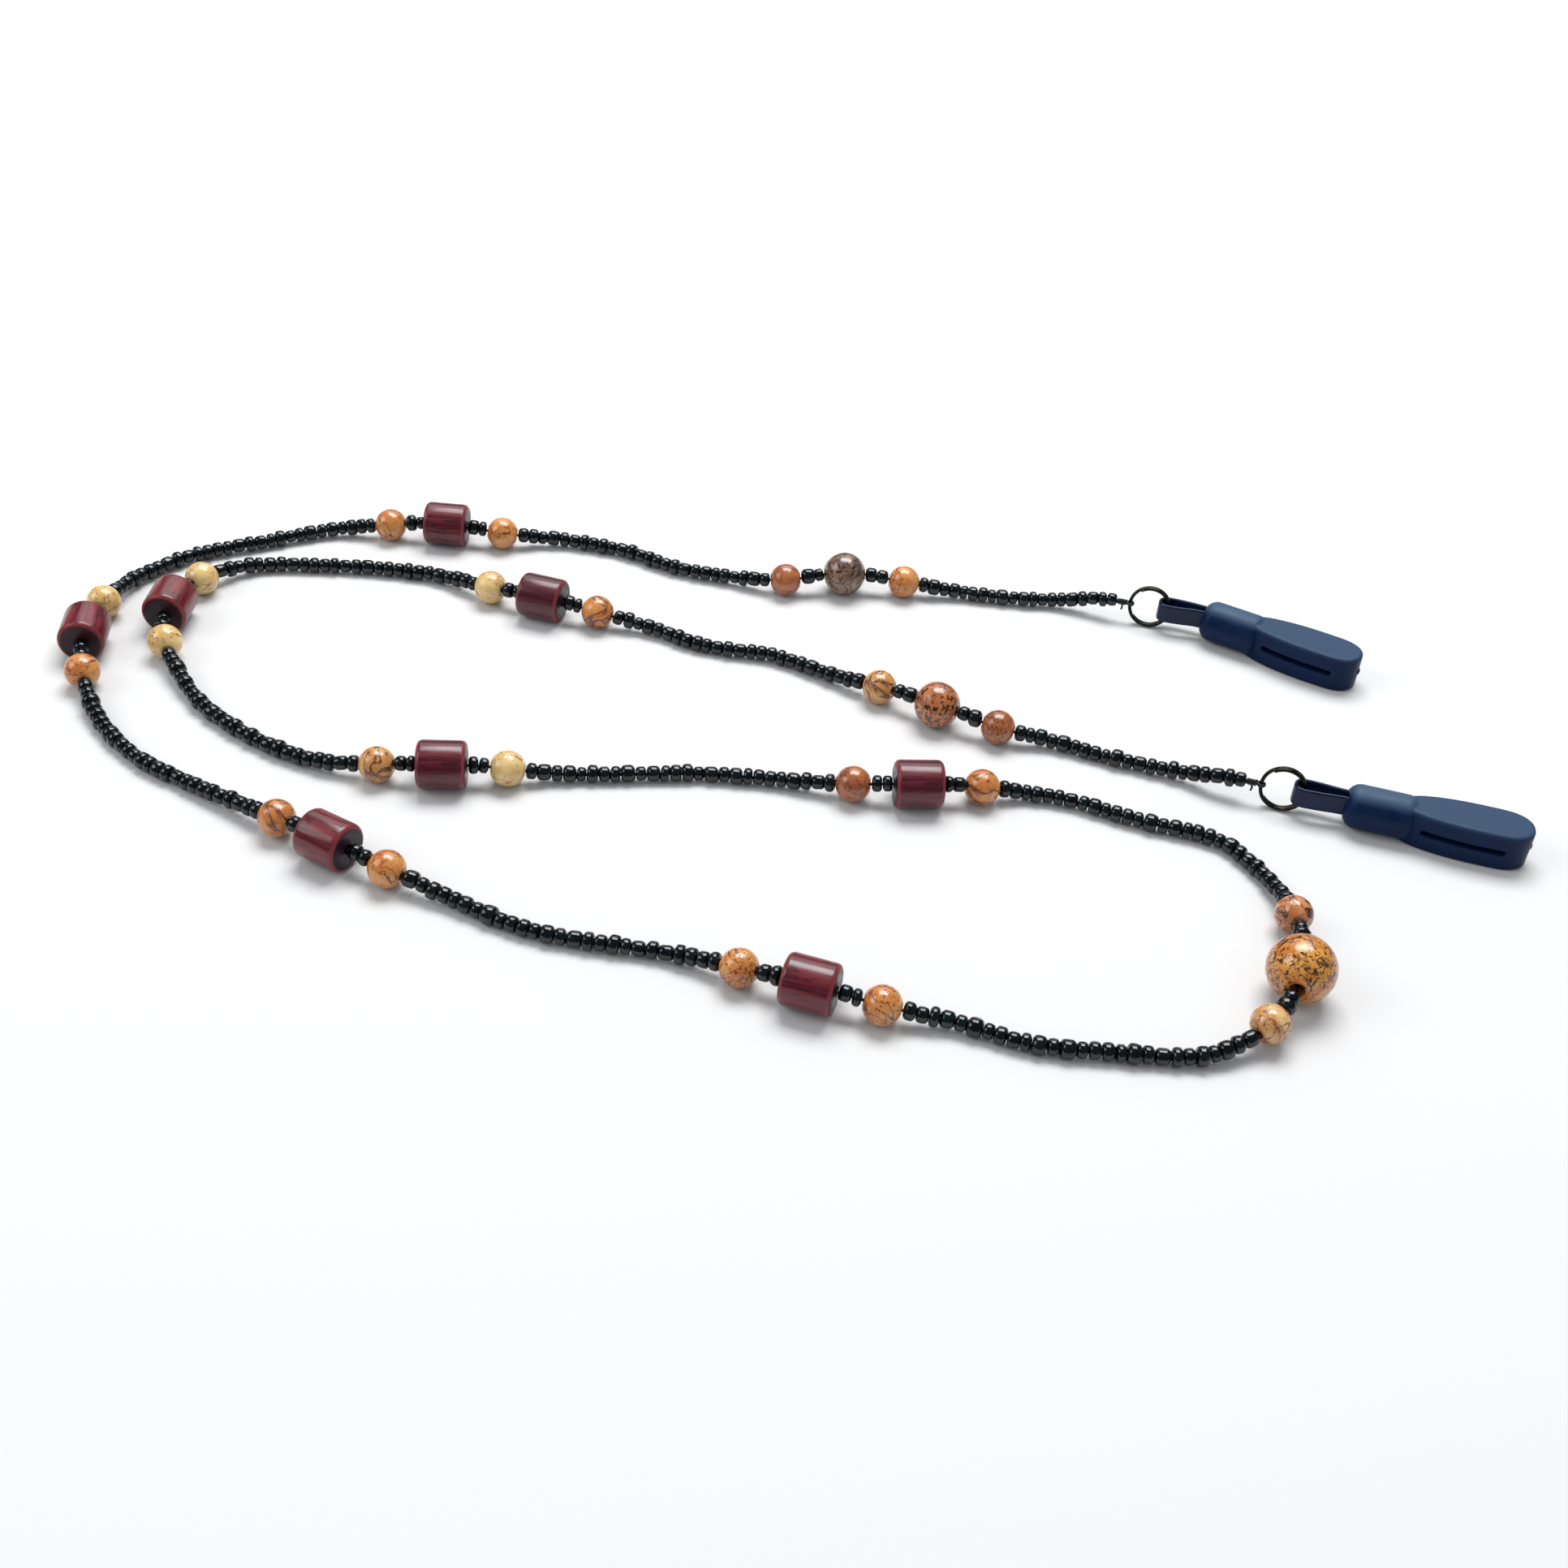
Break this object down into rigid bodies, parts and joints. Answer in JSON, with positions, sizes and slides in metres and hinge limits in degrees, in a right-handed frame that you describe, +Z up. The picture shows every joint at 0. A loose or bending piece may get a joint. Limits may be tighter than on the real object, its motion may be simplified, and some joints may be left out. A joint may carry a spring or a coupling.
{
  "type": "eyeglass retainer strap",
  "caption": "Beaded eyeglass retainer strap lying in a loose double loop, with a split ring, folded strap loop and soft temple grip at each end.",
  "frame": {"origin": "middle of the layout's footprint, on the surface that the strap lies on", "axes": "+X along the layout's long side towards both grips, +Y across it towards end A, +Z up"},
  "size_m": [0.2502, 0.1296, 0.0105],
  "materials": {
    "seed_glass": "gloss, opaque black with a blue-green tint",
    "cord_black": "matt twisted thread",
    "ring_steel": "gunmetal plated",
    "strap_navy": "gloss, soft band",
    "grip_navy": "matt soft moulding",
    "wood_burgundy": "burgundy lacquer over grain",
    "stone_mustard": "polished opaque stone, mustard with dark blotches",
    "stone_cream": "polished opaque stone, cream with brown patches",
    "stone_orange": "polished opaque stone, orange-brown with dark veins",
    "stone_tan": "polished opaque stone, tan",
    "stone_mauve": "polished opaque stone, mottled grey-purple"
  },
  "bodies": {
    "strand": {"thread": "cord_black", "knot_a": "cord_black", "knot_b": "cord_black", "seed_run_a1_a2": "seed_glass", "seed_run_a2_a3": "seed_glass", "seed_run_a3_a4": "seed_glass", "seed_run_a4_a5": "seed_glass", "seed_run_a5_centre": "seed_glass", "seed_run_a_ring": "seed_glass", "seed_run_b2_b1": "seed_glass", "seed_run_b3_b2": "seed_glass", "seed_run_b4_b3": "seed_glass", "seed_run_b5_b4": "seed_glass", "seed_run_b_ring": "seed_glass", "seed_run_centre_b5": "seed_glass", "spacer_seeds_a": "seed_glass", "spacer_seeds_b": "seed_glass", "spacer_seeds_centre": "seed_glass"},
    "ring_a": {"split_ring_a": "ring_steel"},
    "clip_a": {"strap_loop_a": "strap_navy", "grip_a": "grip_navy"},
    "ring_b": {"split_ring_b": "ring_steel"},
    "clip_b": {"strap_loop_b": "strap_navy", "grip_b": "grip_navy"},
    "small_stone_a1_outer": {"small_stone_a1_outer": "stone_orange"},
    "medium_stone_a1": {"medium_stone_a1": "stone_mauve"},
    "small_stone_a1_inner": {"small_stone_a1_inner": "stone_orange"},
    "small_stone_a2_outer": {"small_stone_a2_outer": "stone_orange"},
    "wood_barrel_a2": {"wood_barrel_a2": "wood_burgundy"},
    "small_stone_a2_inner": {"small_stone_a2_inner": "stone_orange"},
    "small_stone_a3_outer": {"small_stone_a3_outer": "stone_tan"},
    "wood_barrel_a3": {"wood_barrel_a3": "wood_burgundy"},
    "small_stone_a3_inner": {"small_stone_a3_inner": "stone_orange"},
    "small_stone_a4_outer": {"small_stone_a4_outer": "stone_orange"},
    "wood_barrel_a4": {"wood_barrel_a4": "wood_burgundy"},
    "small_stone_a4_inner": {"small_stone_a4_inner": "stone_orange"},
    "small_stone_a5_outer": {"small_stone_a5_outer": "stone_orange"},
    "wood_barrel_a5": {"wood_barrel_a5": "wood_burgundy"},
    "small_stone_a5_inner": {"small_stone_a5_inner": "stone_orange"},
    "small_stone_centre_a": {"small_stone_centre_a": "stone_cream"},
    "large_stone_centre": {"large_stone_centre": "stone_mustard"},
    "small_stone_centre_b": {"small_stone_centre_b": "stone_orange"},
    "small_stone_b5_inner": {"small_stone_b5_inner": "stone_orange"},
    "wood_barrel_b5": {"wood_barrel_b5": "wood_burgundy"},
    "small_stone_b5_outer": {"small_stone_b5_outer": "stone_orange"},
    "small_stone_b4_inner": {"small_stone_b4_inner": "stone_orange"},
    "wood_barrel_b4": {"wood_barrel_b4": "wood_burgundy"},
    "small_stone_b4_outer": {"small_stone_b4_outer": "stone_orange"},
    "small_stone_b3_inner": {"small_stone_b3_inner": "stone_orange"},
    "wood_barrel_b3": {"wood_barrel_b3": "wood_burgundy"},
    "small_stone_b3_outer": {"small_stone_b3_outer": "stone_tan"},
    "small_stone_b2_inner": {"small_stone_b2_inner": "stone_cream"},
    "wood_barrel_b2": {"wood_barrel_b2": "wood_burgundy"},
    "small_stone_b2_outer": {"small_stone_b2_outer": "stone_orange"},
    "small_stone_b1_inner": {"small_stone_b1_inner": "stone_orange"},
    "medium_stone_b1": {"medium_stone_b1": "stone_orange"},
    "small_stone_b1_outer": {"small_stone_b1_outer": "stone_orange"}
  },
  "joints": [
    {"name": "ring_a_swing", "type": "hinge", "parent": "strand", "child": "ring_a", "pos_m": [0.06519, 0.0517, 0.00401], "axis": [0, 0, 1], "range_deg": [-40, 60]},
    {"name": "clip_a_lift", "type": "hinge", "parent": "ring_a", "child": "clip_a", "pos_m": [0.0688, 0.051, 0.00401], "axis": [-0.1885, -0.9695, 0.1564], "range_deg": [0, 90]},
    {"name": "ring_b_swing", "type": "hinge", "parent": "strand", "child": "ring_b", "pos_m": [0.08202, -0.00137, 0.00401], "axis": [0, 0, 1], "range_deg": [-45, 40]},
    {"name": "clip_b_lift", "type": "hinge", "parent": "ring_b", "child": "clip_b", "pos_m": [0.0856, -0.0022, 0.00401], "axis": [-0.2222, -0.9624, 0.1564], "range_deg": [0, 90]},
    {"name": "spin_small_stone_a1_outer", "type": "hinge", "parent": "strand", "child": "small_stone_a1_outer", "pos_m": [0.02239, 0.05442, 0.00307], "axis": [-0.9912, 0.0033, 0.1323], "continuous": true},
    {"name": "spin_medium_stone_a1", "type": "hinge", "parent": "strand", "child": "medium_stone_a1", "pos_m": [0.01099, 0.05417, 0.004], "axis": [-0.9894, -0.1455, 0.0002], "continuous": true},
    {"name": "spin_small_stone_a1_inner", "type": "hinge", "parent": "strand", "child": "small_stone_a1_inner", "pos_m": [-0.00004, 0.05187, 0.00308], "axis": [-0.99, -0.0508, -0.1319], "continuous": true},
    {"name": "spin_small_stone_a2_outer", "type": "hinge", "parent": "strand", "child": "small_stone_a2_outer", "pos_m": [-0.05524, 0.06046, 0.00309], "axis": [-0.988, -0.0743, 0.1357], "continuous": true},
    {"name": "spin_wood_barrel_a2", "type": "hinge", "parent": "strand", "child": "wood_barrel_a2", "pos_m": [-0.066, 0.06067, 0.00402], "axis": [-0.9999, 0.0138, -0.0001], "continuous": true},
    {"name": "spin_small_stone_a2_inner", "type": "hinge", "parent": "strand", "child": "small_stone_a2_inner", "pos_m": [-0.07679, 0.06033, 0.00309], "axis": [-0.9897, -0.0455, -0.1355], "continuous": true},
    {"name": "spin_small_stone_a3_outer", "type": "hinge", "parent": "strand", "child": "small_stone_a3_outer", "pos_m": [-0.12105, 0.02657, 0.00308], "axis": [-0.0776, -0.9875, 0.1372], "continuous": true},
    {"name": "spin_wood_barrel_a3", "type": "hinge", "parent": "strand", "child": "wood_barrel_a3", "pos_m": [-0.12074, 0.01587, 0.00402], "axis": [0.152, -0.9884, 0.0009], "continuous": true},
    {"name": "spin_small_stone_a3_inner", "type": "hinge", "parent": "strand", "child": "small_stone_a3_inner", "pos_m": [-0.11771, 0.00543, 0.0031], "axis": [0.3898, -0.9116, -0.1301], "continuous": true},
    {"name": "spin_small_stone_a4_outer", "type": "hinge", "parent": "strand", "child": "small_stone_a4_outer", "pos_m": [-0.07554, -0.02887, 0.00316], "axis": [0.8673, -0.4848, 0.1126], "continuous": true},
    {"name": "spin_wood_barrel_a4", "type": "hinge", "parent": "strand", "child": "wood_barrel_a4", "pos_m": [-0.06621, -0.03412, 0.00402], "axis": [0.8885, -0.4588, 0.0011], "continuous": true},
    {"name": "spin_small_stone_a4_inner", "type": "hinge", "parent": "strand", "child": "small_stone_a4_inner", "pos_m": [-0.05627, -0.03861, 0.00311], "axis": [0.9202, -0.3701, -0.1272], "continuous": true},
    {"name": "spin_small_stone_a5_outer", "type": "hinge", "parent": "strand", "child": "small_stone_a5_outer", "pos_m": [-0.00166, -0.05392, 0.00307], "axis": [0.9343, -0.3278, 0.1404], "continuous": true},
    {"name": "spin_wood_barrel_a5", "type": "hinge", "parent": "strand", "child": "wood_barrel_a5", "pos_m": [0.00874, -0.05714, 0.00402], "axis": [0.9672, -0.2541, -0.001], "continuous": true},
    {"name": "spin_small_stone_a5_inner", "type": "hinge", "parent": "strand", "child": "small_stone_a5_inner", "pos_m": [0.01922, -0.05924, 0.00309], "axis": [0.9838, -0.1158, -0.1365], "continuous": true},
    {"name": "spin_small_stone_centre_a", "type": "hinge", "parent": "strand", "child": "small_stone_centre_a", "pos_m": [0.07508, -0.05729, 0.00352], "axis": [0.7002, 0.6863, 0.1971], "continuous": true},
    {"name": "spin_large_stone_centre", "type": "hinge", "parent": "strand", "child": "large_stone_centre", "pos_m": [0.08087, -0.04703, 0.00527], "axis": [0.2939, 0.9557, 0.0166], "continuous": true},
    {"name": "spin_small_stone_centre_b", "type": "hinge", "parent": "strand", "child": "small_stone_centre_b", "pos_m": [0.08247, -0.03293, 0.00344], "axis": [-0.064, 0.9808, -0.184], "continuous": true},
    {"name": "spin_small_stone_b5_inner", "type": "hinge", "parent": "strand", "child": "small_stone_b5_inner", "pos_m": [0.03528, -0.0069, 0.00302], "axis": [-0.9662, -0.1936, 0.1702], "continuous": true},
    {"name": "spin_wood_barrel_b5", "type": "hinge", "parent": "strand", "child": "wood_barrel_b5", "pos_m": [0.02467, -0.0087, 0.00402], "axis": [-0.9948, -0.1023, -0.0006], "continuous": true},
    {"name": "spin_small_stone_b5_outer", "type": "hinge", "parent": "strand", "child": "small_stone_b5_outer", "pos_m": [0.01403, -0.00885, 0.00309], "axis": [-0.9876, 0.0768, -0.137], "continuous": true},
    {"name": "spin_small_stone_b4_inner", "type": "hinge", "parent": "strand", "child": "small_stone_b4_inner", "pos_m": [-0.04232, -0.0119, 0.00303], "axis": [-0.9719, -0.1691, 0.1638], "continuous": true},
    {"name": "spin_wood_barrel_b4", "type": "hinge", "parent": "strand", "child": "wood_barrel_b4", "pos_m": [-0.05272, -0.01344, 0.00401], "axis": [-0.9959, -0.0903, 0.0002], "continuous": true},
    {"name": "spin_small_stone_b4_outer", "type": "hinge", "parent": "strand", "child": "small_stone_b4_outer", "pos_m": [-0.06328, -0.0136, 0.0031], "axis": [-0.9893, 0.0594, -0.133], "continuous": true},
    {"name": "spin_small_stone_b3_inner", "type": "hinge", "parent": "strand", "child": "small_stone_b3_inner", "pos_m": [-0.10679, 0.01582, 0.00317], "axis": [-0.404, 0.9083, 0.1087], "continuous": true},
    {"name": "spin_wood_barrel_b3", "type": "hinge", "parent": "strand", "child": "wood_barrel_b3", "pos_m": [-0.10899, 0.02629, 0.00401], "axis": [0.0144, 0.9999, -0.0001], "continuous": true},
    {"name": "spin_small_stone_b3_outer", "type": "hinge", "parent": "strand", "child": "small_stone_b3_outer", "pos_m": [-0.10643, 0.03659, 0.00308], "axis": [0.4582, 0.8776, -0.1408], "continuous": true},
    {"name": "spin_small_stone_b2_inner", "type": "hinge", "parent": "strand", "child": "small_stone_b2_inner", "pos_m": [-0.0542, 0.04112, 0.00311], "axis": [0.911, -0.3913, 0.1305], "continuous": true},
    {"name": "spin_wood_barrel_b2", "type": "hinge", "parent": "strand", "child": "wood_barrel_b2", "pos_m": [-0.04404, 0.03773, 0.00401], "axis": [0.9698, -0.2441, -0.0011], "continuous": true},
    {"name": "spin_small_stone_b2_outer", "type": "hinge", "parent": "strand", "child": "small_stone_b2_outer", "pos_m": [-0.0337, 0.0358, 0.00306], "axis": [0.9799, -0.1317, -0.1496], "continuous": true},
    {"name": "spin_small_stone_b1_inner", "type": "hinge", "parent": "strand", "child": "small_stone_b1_inner", "pos_m": [0.01809, 0.01916, 0.00308], "axis": [0.8759, -0.4644, 0.131], "continuous": true},
    {"name": "spin_medium_stone_b1", "type": "hinge", "parent": "strand", "child": "medium_stone_b1", "pos_m": [0.02808, 0.01397, 0.004], "axis": [0.903, -0.4296, 0.0003], "continuous": true},
    {"name": "spin_small_stone_b1_outer", "type": "hinge", "parent": "strand", "child": "small_stone_b1_outer", "pos_m": [0.03859, 0.01004, 0.00306], "axis": [0.9713, -0.1921, -0.1402], "continuous": true}
  ]
}
